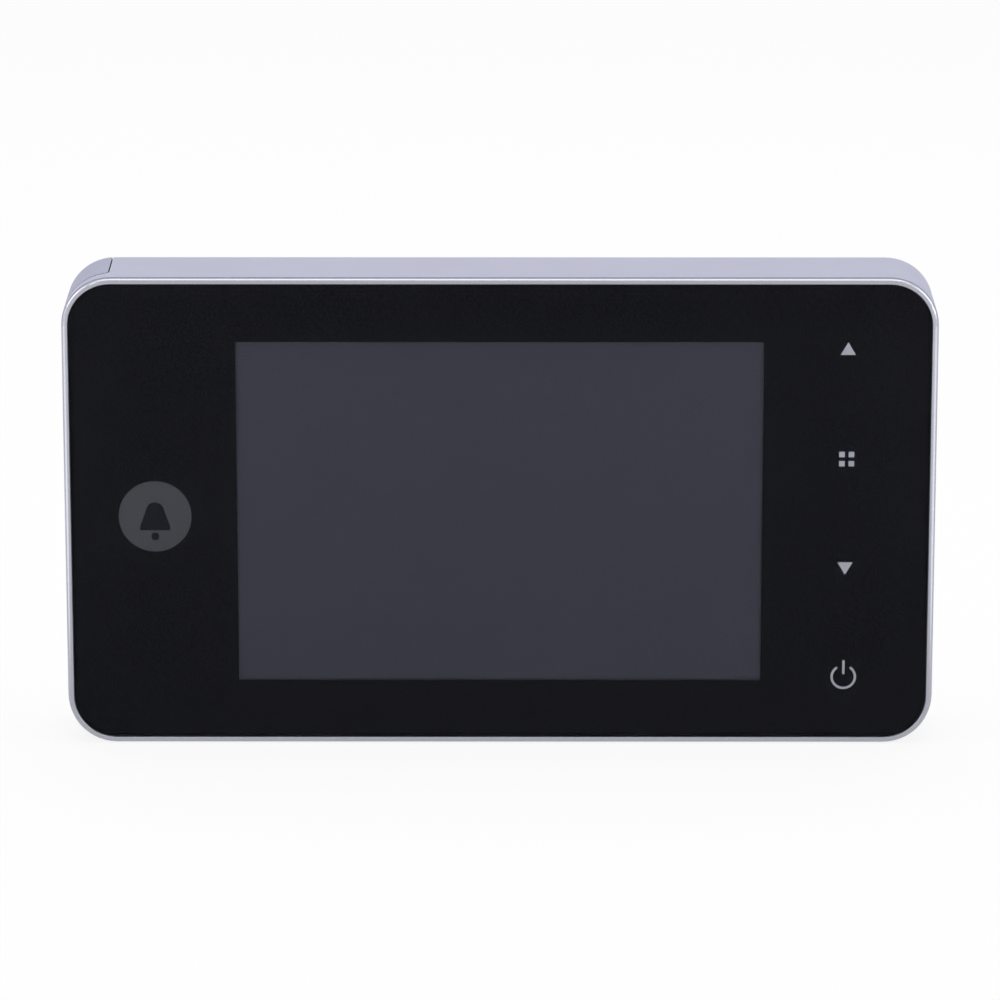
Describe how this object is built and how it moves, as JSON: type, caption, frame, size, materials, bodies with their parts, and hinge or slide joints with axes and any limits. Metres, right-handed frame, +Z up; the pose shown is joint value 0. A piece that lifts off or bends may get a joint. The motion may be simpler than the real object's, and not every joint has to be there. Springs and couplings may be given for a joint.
{
  "type": "peephole door camera monitor",
  "caption": "Flat indoor monitor of a peephole camera: glass front with screen and touch keys, silver casing, sliding battery cover, steel door bracket.",
  "frame": {"origin": "on the surface the unit stands on, under the middle of its bounding box", "axes": "+X to the viewer's right, +Y from the glass towards the door, +Z up"},
  "size_m": [0.1382, 0.0176, 0.0764],
  "materials": {
    "silver_lacquer": "metallic lacquer",
    "clear_panel": "polished",
    "black_print": "printed",
    "light_print": "printed",
    "grey_print": "printed",
    "dark_print": "printed",
    "black_foam": "closed-cell foam",
    "black_abs": "moulded",
    "screen_film": "smooth film",
    "display_glass": "polished",
    "white_plastic": "moulded",
    "sheet_steel": "rolled sheet",
    "screw_steel": "zinc plated",
    "bracket_steel": "zinc plated",
    "flex_film": "polyimide film",
    "connector_plastic": "moulded",
    "circuit_board": "solder mask",
    "chip_black": "moulded epoxy",
    "ceramic": "fired",
    "lamp_body": "moulded",
    "contact_gold": "gold plated",
    "insert_brass": "turned",
    "card_black": "moulded",
    "button_white": "moulded",
    "magnet_iron": "plated",
    "cone_film": "pressed film",
    "lead_sleeve": "extruded",
    "battery_wrap": "shrink sleeve",
    "silver_abs": "painted silver"
  },
  "bodies": {
    "monitor": {"backlight_tray": "white_plastic", "badge_bell": "dark_print", "badge_disc": "grey_print", "battery_contacts": "contact_gold", "battery_pack": "battery_wrap", "battery_terminals": "contact_gold", "bezel_ring": "silver_lacquer", "board_chips": "chip_black", "board_screws": "screw_steel", "camera_contacts": "contact_gold", "camera_socket": "connector_plastic", "card_socket": "sheet_steel", "case_inserts": "insert_brass", "case_screws": "screw_steel", "contact_block": "black_abs", "display_gasket": "black_foam", "display_screws": "screw_steel", "front_frame": "black_abs", "front_glass": "clear_panel", "glass_print": "black_print", "glass_tape": "black_foam", "key_board": "circuit_board", "key_diffusers": "white_plastic", "key_lamps": "lamp_body", "key_symbols": "light_print", "lcd_backplate": "sheet_steel", "lcd_cell": "display_glass", "lcd_connector": "connector_plastic", "lcd_flex": "flex_film", "lcd_polariser": "screen_film", "main_board": "circuit_board", "power_parts": "chip_black", "rear_housing": "silver_abs", "reset_switch": "black_abs", "shield_can": "sheet_steel", "small_parts": "ceramic", "speaker_cone": "cone_film", "speaker_frame": "black_abs", "speaker_gasket": "black_foam", "speaker_leads": "lead_sleeve", "speaker_magnet": "magnet_iron", "touch_chip": "chip_black", "touch_connector": "connector_plastic", "touch_flex": "flex_film", "usb_socket": "sheet_steel", "usb_tongue": "black_abs"},
    "cover": {"battery_cover": "silver_abs"},
    "card": {"memory_card": "card_black", "card_slider": "black_abs"},
    "reset": {"reset_button": "button_white"},
    "latch": {"cable_latch": "black_abs"},
    "bracket": {"door_bracket": "bracket_steel"}
  },
  "joints": [
    {"name": "battery_cover_slide", "type": "slide", "parent": "monitor", "child": "cover", "axis": [-1, 0, 0], "range_m": [0, 0.034]},
    {"name": "door_bracket_slide", "type": "slide", "parent": "monitor", "child": "bracket", "axis": [0, 0, -1], "range_m": [0, 0.0056]},
    {"name": "memory_card_slide", "type": "slide", "parent": "monitor", "child": "card", "axis": [1, 0, 0], "range_m": [-0.0008, 0.004]},
    {"name": "reset_button_press", "type": "slide", "parent": "monitor", "child": "reset", "axis": [0, -1, 0], "range_m": [0, 0.00025], "stiffness_N_per_m": 1200, "springref_m": -0.0005},
    {"name": "cable_latch_flip", "type": "hinge", "parent": "monitor", "child": "latch", "pos_m": [0.00802, 0.00035, 0.0432], "axis": [1, 0, 0], "range_deg": [0, 90]}
  ]
}
